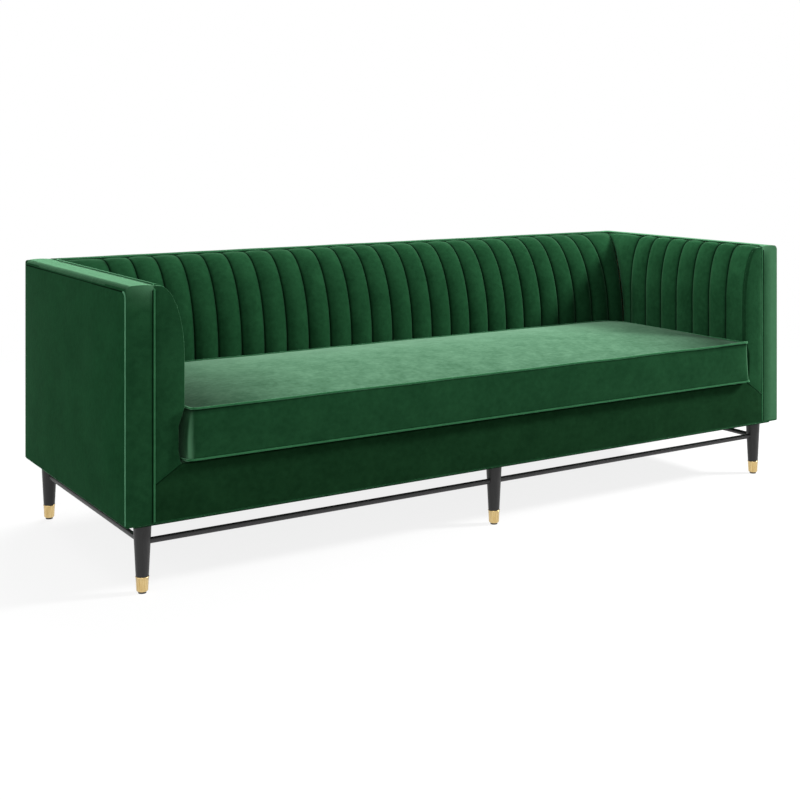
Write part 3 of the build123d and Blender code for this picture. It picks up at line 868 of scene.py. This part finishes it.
def frontPieces():
    gap = frontShape["gap"]
    mitreLow = apronHigh.z - frontShape["mitre"]
    innerX = facingLow.x
    endX = wallX + frontShape["tuck"]
    apronLine = [(-endX, apronLow.z), (endX, apronLow.z), (endX, mitreLow - gap),
                 (innerX, apronHigh.z - gap), (-innerX, apronHigh.z - gap), (-endX, mitreLow - gap)]
    apron = panelMesh(apronLine, apronLow.y, apronHigh.y)
    puffPanel(apron, apronLow.y, apronLow, apronHigh, 4.0)
    # the apron takes the darker copy: painted shade under the cushion's overhang
    piece = newPiece("frontApron", apron, shadedApronVelvet)
    declare(piece, "sofa", "front_apron")
    for sideName, side in sides:
        line = [(innerX, apronHigh.z + gap), (endX, mitreLow + gap), (endX, padTop)]
        for step in range(frontShape["curveSteps"] + 1):
            angle = math.pi / 2 * (1 - step / frontShape["curveSteps"])
            level = padShape["armShoulder"] + (padTop - padShape["armShoulder"]) * math.sin(angle)
            line.append((facingEdge(level), level))
        line += [(facingEdge(level), level) for level in frontShape["lipLevels"]]
        line = [(side * x, z) for x, z in line]
        facing = panelMesh(line, facingLow.y, facingHigh.y, lambda co: abs(co.x) < facingEdge(co.z) + 1e-4)
        low = Vector((min(x for x, z in line), 0, min(z for x, z in line)))
        high = Vector((max(x for x, z in line), 0, max(z for x, z in line)))
        puffPanel(facing, facingLow.y, low, high, 6.0 + side)
        piece = newPiece(sideName + "ArmFacing", facing, velvet)
        declare(piece, "sofa", sideName + "_arm_facing")


frontPieces()
print("covers ready")

# sewn piping, and near-black cords that paint the shade in seam grooves on the body: radii first, then how
# far each line lies from the edges
pipingShape = {
    "panel": 0.0026, "seam": 0.0034, "strip": 0.0026, "foot": 0.0028, "groove": 0.0013, "topSeam": 0.0019,
    "facing": 0.0016, "corner": 0.016, "stripCorner": 0.010, "footCorner": 0.004, "steps": 6,
    "edgeIn": 0.0065, "sunk": 0.0004, "proud": 0.0002, "start": 0.003, "stripStart": 0.004, "below": 0.001,
    "seamIn": 0.0064, "seamBack": 0.0016, "stop": 0.004, "stripRise": 0.0020, "grooveOut": 0.0042,
    "grooveProud": (0.0006, 0.0016), "grooveStop": 0.012, "mitreBack": 0.0012, "footIn": 0.002,
    "facingIn": 0.0012, "facingBack": 0.0062, "facingSteps": 40,
}
up, along, right = Vector((0, 0, 1)), Vector((0, 1, 0)), Vector((1, 0, 0))


def arcPoints(x, y, z, first, second, radius):
    # a quarter turn about a point, from one unit direction to another
    turns = [math.pi / 2 * step / pipingShape["steps"] for step in range(pipingShape["steps"] + 1)]
    steps = [(first * math.cos(turn) + second * math.sin(turn)) * radius for turn in turns]
    return [Vector((x, y, z)) + step for step in steps]


def sidePiping(sideName, side):
    # piping up the outer panel's front edge, paler than the cloth, a painted highlight; near-black cords in
    # front of it and along its top paint the shade in the seam grooves
    shape = pipingShape
    r = shape["corner"]
    x = side * (coverHigh.x - shape["sunk"])
    front = bodyFront + shape["edgeIn"]
    top = topZ - armCoverShape["topRadius"] - shape["below"]
    foot = coverLow.z + shape["start"]
    line = [Vector((x, front, foot)), *arcPoints(x, front + r, top - r, -along, up, r)]
    topLine = [line[-1], Vector((x, coverHigh.y, top))]
    seamX, seamY = side * (coverHigh.x - shape["seamIn"]), bodyFront + shape["seamBack"]
    seam = [Vector((seamX, seamY, foot)), Vector((seamX, seamY, top - shape["stop"]))]
    # a thin cord along the facing's curved edge, with a painted highlight on the left arm only
    low, high = padShape["lipFoot"], padTop - shape["stop"]
    levels = [low + (high - low) * step / shape["facingSteps"] for step in range(shape["facingSteps"] + 1)]
    y = facingLow.y + shape["facingBack"]
    curve = [Vector((side * (facingEdge(level) + shape["facingIn"]), y, level)) for level in levels]
    return [tubeAlong(sideName + "PanelPiping", line, shape["panel"], highlightEdgeVelvet),
            tubeAlong(sideName + "TopGrooveShade", topLine, shape["topSeam"], grooveShadeVelvet),
            tubeAlong(sideName + "PanelGrooveShade", seam, shape["groove"], grooveShadeVelvet),
            tubeAlong(sideName + "FacingPiping", curve, shape["facing"], highlightEdgeVelvet if side < 0 else velvet)]


def frontGrooveShades(sideName, side):
    # near-black cords beside the strip's piping and along the mitre paint the shade in the seam grooves
    shape = pipingShape
    x = side * (wallX + shape["grooveOut"])
    lowProud, highProud = shape["grooveProud"]
    groove = [Vector((x, bodyFront - lowProud, coverLow.z + shape["stripStart"])),
              Vector((x, bodyFront - highProud, topZ - shape["grooveStop"]))]
    y = apronLow.y + shape["mitreBack"]
    mitre = [Vector((side * facingLow.x, y, apronHigh.z)),
             Vector((side * wallX, y, apronHigh.z - frontShape["mitre"]))]
    return [tubeAlong(sideName + "StripGrooveShade", groove, shape["groove"], grooveShadeVelvet),
            tubeAlong(sideName + "MitreGrooveShade", mitre, shape["groove"], grooveShadeVelvet)]


def stripPiping():
    # one line of piping inside the top strip, down the fronts of both arms
    z = topZ + pipingShape["stripRise"]
    y = bodyFront + pipingShape["proud"]
    r, nose = pipingShape["stripCorner"], armCoverShape["cornerRadius"]
    foot = coverLow.z + pipingShape["stripStart"]
    route = [Vector((-wallX, y, foot)), *arcPoints(-wallX, y + nose, z - nose, -along, up, nose)]
    route += arcPoints(-wallX + r, wallY - r, z, -right, along, r)
    route += arcPoints(wallX - r, wallY - r, z, along, right, r)
    route += [*arcPoints(wallX, y + nose, z - nose, up, -along, nose), Vector((wallX, y, foot))]
    return tubeAlong("stripPiping", route, pipingShape["strip"], litPipingVelvet)


def backPiping():
    # round the outside back: up one edge, along the top and down the other
    y = backCoverHigh.y + pipingShape["proud"]
    edge, top = coverHigh.x - pipingShape["edgeIn"], topZ - pipingShape["edgeIn"]
    r = armCoverShape["topRadius"]
    foot = coverLow.z + pipingShape["start"]
    route = [Vector((-edge, y, foot)), *arcPoints(-edge + r, y, top - r, -right, up, r)]
    route += [*arcPoints(edge - r, y, top - r, up, right, r), Vector((edge, y, foot))]
    return tubeAlong("backPiping", route, pipingShape["seam"], litPipingVelvet)


def footPiping():
    # a thin cord along the foot of both sides and the front
    z = coverLow.z + pipingShape["below"]
    edge, front = coverHigh.x - pipingShape["footIn"], bodyFront + pipingShape["footIn"]
    r = pipingShape["footCorner"]
    route = [Vector((-edge, coverHigh.y, z)), *arcPoints(-edge + r, front + r, z, -right, -along, r)]
    route += [*arcPoints(edge - r, front + r, z, -along, right, r), Vector((edge, coverHigh.y, z))]
    return tubeAlong("footPiping", route, pipingShape["foot"], velvet)


bodyLines = [line for sideName, side in sides for line in sidePiping(sideName, side)]
bodyLines.append(stripPiping())
bodyLines += [line for sideName, side in sides for line in frontGrooveShades(sideName, side)]
bodyLines += [backPiping(), footPiping()]
for line in bodyLines:
    declare(line, "sofa")
print("body piping and seams:", len(bodyLines))

# seat cushion: two panels and a boxing band, sewn with piping and stuffed
cushionShape = {
    "slice": 0.016, "rimCuts": (0.005, 0.011), "edgeHeight": 0.129, "proud": 0.026, "roundCorner": 0.016,
    "clearEnds": 0.002, "clearRear": 0.004, "clearFoot": 0.001, "topPull": 0.008, "flare": 0.002,
    "frontLift": 0.008, "backLift": 0.010, "crown": 0.016, "wave": 0.0016,
    "backBand": 0.25, "frontBand": 0.08, "endBand": 0.10, "relax": 12, "fill": 0.85,
    "piping": 0.0026, "pipingRise": {"top": 0.0012, "bottom": 0.0016}, "pipingSpread": 1.0008,
    "zipRadius": 0.0022, "zipProud": 0.0012,
}
cushionStuffing = {"pressure": 4.0, "slack": 0.005, "stretch": 22.0, "bend": 3.0, "frames": 18, "cap": 0.022}
# painted light on the cushion: painted shade on the top towards the arms and the front, and painted
# highlights; pairs are for its left and right ends
cushionLightPaint = {
    "endFade": (0.42, 0.52), "endShade": (0.85, 1.15), "endPower": 1.5, "frontPart": 0.3,
    "frontFade": 0.40, "frontShade": 0.10, "mostShade": 0.9, "farFade": 0.30, "farHighlight": 0.60,
    "boxingHighlight": 0.62, "boxingFade": 0.010, "topBand": 0.006, "topBlend": 0.004,
    "frontStart": 0.003, "frontBlend": 0.008,
}


def roundedPlan(x, y, halfX, halfY, radius):
    # draws a point of a rectangle's rim in, where its corners are round
    dx = max(0.0, abs(x) - (halfX - radius))
    dy = max(0.0, abs(y) - (halfY - radius))
    if dx == 0.0 or dy == 0.0:
        return x, y
    shrink = max(dx, dy) / math.hypot(dx, dy)
    return (math.copysign(halfX - radius + dx * shrink, x), math.copysign(halfY - radius + dy * shrink, y))


def cushionPoint(co, centre, halfX, halfY, low, high):
    shape = cushionShape
    x, y = co.x - centre.x, co.y - centre.y
    above = clampShare((co.z - low) / (high - low))
    inFront = clampShare((bodyFront - co.y) / shape["proud"])
    nearBack = clampShare((y - (halfY - shape["backBand"])) / shape["backBand"])
    nearFront = clampShare((-y - (halfY - shape["frontBand"])) / shape["frontBand"])
    x, y = roundedPlan(x, y, halfX, halfY, shape["roundCorner"])
    nearEnd = clampShare((abs(x) - (halfX - shape["endBand"])) / shape["endBand"])
    nearSide = clampShare((abs(y) - (halfY - shape["endBand"])) / shape["endBand"])
    x -= math.copysign(shape["topPull"] * nearEnd * above ** 2, x)
    x += math.copysign(shape["flare"] * inFront * nearEnd, x)
    z = co.z + shape["frontLift"] * nearFront ** 2 * (1 - 0.5 * above)
    if above > 0.999:
        z += shape["crown"] * dome((x / halfX + 1) / 2, 4) * dome((y / halfY + 1) / 2, 2)
        z += shape["backLift"] * nearBack ** 2 * (1 - nearEnd)
    wave = shape["wave"] * wobble(Vector((x, y, above)), 6.0, 1.0)
    return Vector((centre.x + x, centre.y + y + wave * nearSide, z + wave * (above - 0.2)))


def cushionMasks(piece, centre, halfX, high):
    # painted shade on the top towards the arms, stronger at the right end, and towards the front; a painted
    # highlight along the back of the top, away from the ends, and on the boxing ends where they stand proud
    # at the front
    nap = cushionLightPaint
    shades, paintedHighlights = [], []
    for vertex in piece.data.vertices:
        x, y, z = vertex.co
        end = 0 if x < centre.x else 1
        fromEnd = halfX - abs(x - centre.x)
        reach = nap["endFade"][end]
        onTop = clampShare((z - high.z + nap["topBand"]) / nap["topBlend"])
        ahead = clampShare(1 - (y - bodyFront) / nap["frontFade"])
        behind = clampShare(1 - (high.y - y) / nap["farFade"])
        inFront = clampShare((bodyFront - nap["frontStart"] - y) / nap["frontBlend"])
        shade = nap["endShade"][end] * clampShare(1 - fromEnd / reach) ** nap["endPower"]
        shade *= 1 - nap["frontPart"] + nap["frontPart"] * ahead
        shades.append(onTop * min(nap["mostShade"], shade + nap["frontShade"] * ahead))
        far = nap["farHighlight"] * behind * clampShare(fromEnd / reach) * onTop
        atBoxing = nap["boxingHighlight"] * clampShare(1 - fromEnd / nap["boxingFade"]) * inFront * (1 - onTop)
        paintedHighlights.append(max(far, atBoxing))
    maskPoints(piece, "paintedShade", shades)
    maskPoints(piece, "paintedHighlight", paintedHighlights)


def seatCushion():
    shape = cushionShape
    low = Vector((cushionLow.x + shape["clearEnds"], bodyFront - shape["proud"],
                  cushionLow.z + shape["clearFoot"]))
    high = Vector((cushionHigh.x - shape["clearEnds"], cushionHigh.y - shape["clearRear"],
                   cushionLow.z + shape["edgeHeight"]))
    centre = (low + high) / 2
    halfX, halfY = (high.x - low.x) / 2, (high.y - low.y) / 2
    bm = boxMesh(low, high)
    for axis in range(3):
        cutEvery(bm, axis, low, high, shape["slice"])
    for axis in (0, 1):
        for inset in shape["rimCuts"]:
            cutAt(bm, axis, low[axis] + inset)
            cutAt(bm, axis, high[axis] - inset)
    sewn, zipped = [], []
    rims = {"top": [], "bottom": []}
    for vertex in bm.verts:
        x, y, z = vertex.co
        onRim = abs(abs(x - centre.x) - halfX) < tolerance or abs(abs(y - centre.y) - halfY) < tolerance
        atTop, atFoot = abs(z - high.z) < tolerance, abs(z - low.z) < tolerance
        if onRim and (atTop or atFoot):
            rims["top" if atTop else "bottom"].append(vertex)
        if atFoot or (onRim and atTop):
            sewn.append(vertex)
        atMiddle = abs(z - centre.z) < shape["slice"] / 4
        if atMiddle and abs(y - high.y) < tolerance and zipLow.x < x < zipHigh.x:
            zipped.append(vertex)
    for vertex in bm.verts:
        vertex.co = cushionPoint(vertex.co, centre, halfX, halfY, low.z, high.z)

    def bearing(vertex):
        return math.atan2((vertex.co.y - centre.y) / halfY, (vertex.co.x - centre.x) / halfX)

    loops = {label: [vertex.co.copy() for vertex in sorted(rim, key=bearing)] for label, rim in rims.items()}
    bm.verts.index_update()
    sewnIndices = [vertex.index for vertex in sewn]
    zipIndices = [vertex.index for vertex in sorted(zipped, key=lambda v: v.co.x)]
    piece = newPiece("seatCushion", bm, velvet)
    # the top takes the pale seat copy: painted light and sheen
    paintedLightByFacing(piece, 2, 0.7, litSeatVelvet)
    stuff(piece, sewnIndices, cushionStuffing)
    relaxed(piece, sewnIndices, shape["relax"])
    cushionMasks(piece, centre, halfX, high)
    proud = Vector((0, shape["zipProud"], 0))
    zipLine = [piece.data.vertices[index].co + proud for index in zipIndices]
    return subdivided(piece), loops, zipLine


foamShape = {"inset": Vector((0.030, 0.022, 0.008)), "edge": 0.018, "fill": 0.95}


def cushionFoam():
    # the foam block, clear of the cover all round
    top = Vector((cushionHigh.x, cushionHigh.y, cushionLow.z + cushionShape["edgeHeight"]))
    bm = boxMesh(cushionLow + foamShape["inset"], top - foamShape["inset"])
    bevelEdges(bm, bm.edges[:], foamShape["edge"], 4)
    declare(newPiece("cushionFoam", bm, foam), "cushion", "seat_cushion_core")


cushionFoam()
cushion, cushionLoops, zipLine = seatCushion()
declare(cushion, "cushion", "seat_cushion_cover")
for label, loop in cushionLoops.items():
    rise = cushionShape["pipingRise"][label]
    line = [Vector((point.x * cushionShape["pipingSpread"], point.y, point.z + rise)) for point in loop]
    piping = tubeAlong(label + "CushionPiping", line, cushionShape["piping"], litPipingVelvet, closed=True)
    declare(piping, "cushion")
# the zip's coil, along the middle of the back boxing
zipCoil = tubeAlong("zipCoil", zipLine, cushionShape["zipRadius"], zipTape)
declare(zipCoil, "cushion", "seat_cushion_zip")
print("cushion:", len(cushion.data.vertices), "points")

# the deck pad that the cushion lies on
deckShape = {"edge": 0.004, "slice": 0.05, "skin": 0.001, "uneven": 0.0012, "fill": 0.95}


def deckPiece():
    bm = boxMesh(deckLow, deckHigh)
    bevelSharp(bm, deckShape["edge"])
    for axis in (0, 1):
        cutEvery(bm, axis, deckLow, deckHigh, deckShape["slice"])
    for vertex in bm.verts:
        if vertex.co.z > deckHigh.z - deckShape["skin"]:
            across, back = (shareOf(vertex.co, axis, deckLow, deckHigh) for axis in (0, 1))
            hollow = dome(across) * dome(back) * (1 + wobble(vertex.co, 6.0, 9.0))
            vertex.co.z -= deckShape["uneven"] * hollow
    piece = newPiece("deckPad", bm, deckFelt)
    declare(piece, "sofa", "deck_pad")
    subdivided(piece)


deckPiece()

# the dust cover, stapled up under the frame and hanging a little between its edges
dustShape = {"slice": 0.04, "sag": 0.003, "uneven": 0.3, "thickness": 0.0008}


def dustSheet():
    low, high = boxOf("dust_cover")
    middle = (low + high) / 2
    width, length = high.x - low.x, high.y - low.y
    bm = bmesh.new()
    bmesh.ops.create_grid(bm, x_segments=round(width / dustShape["slice"]),
                          y_segments=round(length / dustShape["slice"]), size=0.5)
    bmesh.ops.scale(bm, vec=(width, length, 1), verts=bm.verts[:])
    for vertex in bm.verts:
        drop = dustShape["sag"] * dome(vertex.co.x / width + 0.5, 6) * dome(vertex.co.y / length + 0.5, 2)
        level = high.z - drop * (1 + dustShape["uneven"] * wobble(vertex.co, 5.0, 12.0))
        vertex.co = Vector((vertex.co.x + middle.x, vertex.co.y + middle.y, level))
    piece = newPiece("dustCover", bm, dustCloth)
    body = piece.modifiers.new("body", "SOLIDIFY")
    body.thickness = dustShape["thickness"]
    body.offset = -1.0
    declare(piece, "sofa", "dust_cover")


dustSheet()
print("deck pad and dust cover ready")

# brass caps with a rounded foot and a rolled rim, whose points are steps out from the top edge and up
capShape = {
    "foot": 0.0045, "hole": 0.004, "taper": 0.0512, "steps": 5, "around": 48,
    "rim": ((-0.0002, -0.0022), (0.0006, -0.0016), (0.0006, -0.0006), (-0.0002, 0.0), (-0.0016, -0.0002)),
}


def capAt(place):
    low, high = boxOf("cap_" + place)
    middle = (low + high) / 2
    topRadius = (high.x - low.x) / 2
    footRadius = topRadius - (high.z - low.z) * capShape["taper"]
    outline = [(capShape["hole"], low.z)]
    r = capShape["foot"]
    for step in range(capShape["steps"] + 1):
        angle = math.pi / 2 * step / capShape["steps"]
        outline.append((footRadius - r + r * math.sin(angle), low.z + r - r * math.cos(angle)))
    outline += [(topRadius + out, high.z + rise) for out, rise in capShape["rim"]]
    bm = bmesh.new()
    spots = [bm.verts.new((middle.x + x, middle.y, z)) for x, z in outline]
    edges = [bm.edges.new(pair) for pair in zip(spots, spots[1:])]
    bmesh.ops.spin(bm, geom=spots + edges, cent=(middle.x, middle.y, 0), axis=(0, 0, 1), angle=math.tau,
                   steps=capShape["around"], use_merge=True)
    bmesh.ops.remove_doubles(bm, verts=bm.verts[:], dist=1e-6)
    declare(newPiece("cap." + place, bm, brass), "sofa", "cap_" + place)


places = [name[len("cap_"):] for name in nodes if name.startswith("cap_")]
for place in places:
    capAt(place)
print("caps:", len(places))

# camera at the photograph's place, level, with the frame shifted down
cameraPlace = {"at": (-2.2250, -3.3659, 1.1025), "yaw": 32.37, "lens": 58.70, "shiftY": -0.3271}
camera = bpy.data.objects.new("camera", bpy.data.cameras.new("camera"))
scene.collection.objects.link(camera)
camera.location = cameraPlace["at"]
camera.rotation_euler = (math.radians(90), 0, -math.radians(cameraPlace["yaw"]))
camera.data.lens = cameraPlace["lens"]
camera.data.sensor_width = 36.0
camera.data.shift_y = cameraPlace["shiftY"]
scene.camera = camera

# pale floor that fades to white, soft lamps, white surroundings
studio = {
    "floor": 0.86, "floorRadius": 9.0, "floorRough": 0.9, "clear": (1.6, 3.4), "wash": 0.85, "world": 0.18,
    "lamps": [("keyLamp", (4.4, -2.2, 2.9), (0.3, 0.0, 0.4), 0.8, 475.0),
              ("fillLamp", (-1.6, -2.2, 3.1), (0.0, 0.0, 0.4), 1.6, 36.0),
              ("topLamp", (0.5, 1.5, 2.7), (0.0, 0.0, 0.4), 2.2, 132.0),
              ("frontLamp", (-2.8, -3.8, 1.9), (-0.4, 0.0, 0.4), 1.6, 44.0),
              ("sideLamp", (-4.2, -1.0, 2.2), (-0.6, 0.0, 0.4), 2.0, 42.0)],
}


def seenStraight(tree):
    # rays from the camera and from mirrors
    path = addNode(tree, "ShaderNodeLightPath")
    return joined(tree, "MAXIMUM", path.outputs["Is Camera Ray"], path.outputs["Is Glossy Ray"])


def blendInto(tree, share, first, second, output):
    blend = addNode(tree, "ShaderNodeMixShader")
    for index, source in enumerate((share, first, second)):
        wire(tree, source, blend.inputs[index])
    wire(tree, blend.outputs["Shader"], tree.nodes[output].inputs["Surface"])


def addFloor():
    bm = bmesh.new()
    bmesh.ops.create_circle(bm, cap_ends=True, segments=96, radius=studio["floorRadius"])
    material, tree, shader = blankMaterial("paleFloor")
    setInputs(shader, {"Base Color": (studio["floor"],) * 3 + (1.0,), "Roughness": studio["floorRough"]})
    white = addNode(tree, "ShaderNodeEmission", {"Color": (1, 1, 1, 1), "Strength": 1.0})
    away = addNode(tree, "ShaderNodeVectorMath", operation="LENGTH")
    wire(tree, objectPlace(tree), away.inputs[0])
    fade = ramp(tree, away.outputs["Value"], *studio["clear"], studio["wash"], 1.0)
    share = times(tree, fade, seenStraight(tree))
    blendInto(tree, share, shader.outputs["BSDF"], white.outputs["Emission"], "Material Output")
    newPiece("floor", bm, material, smooth=False)


def addLamps():
    for name, place, target, size, power in studio["lamps"]:
        lamp = bpy.data.lights.new(name, "AREA")
        lamp.size = size
        lamp.energy = power
        holder = bpy.data.objects.new(name, lamp)
        scene.collection.objects.link(holder)
        holder.location = place
        holder.rotation_euler = (Vector(target) - Vector(place)).to_track_quat("-Z", "Y").to_euler()


def addWorld():
    world = bpy.data.worlds.new("studioWorld")
    world.use_nodes = True
    tree = world.node_tree
    light = tree.nodes["Background"]
    setInputs(light, {"Color": (1, 1, 1, 1), "Strength": studio["world"]})
    white = addNode(tree, "ShaderNodeBackground", {"Color": (1, 1, 1, 1), "Strength": 1.0})
    blendInto(tree, seenStraight(tree), light.outputs["Background"], white.outputs["Background"],
              "World Output")
    scene.world = world


addFloor()
addLamps()
addWorld()
scene.view_settings.view_transform = "Standard"
print("studio ready")
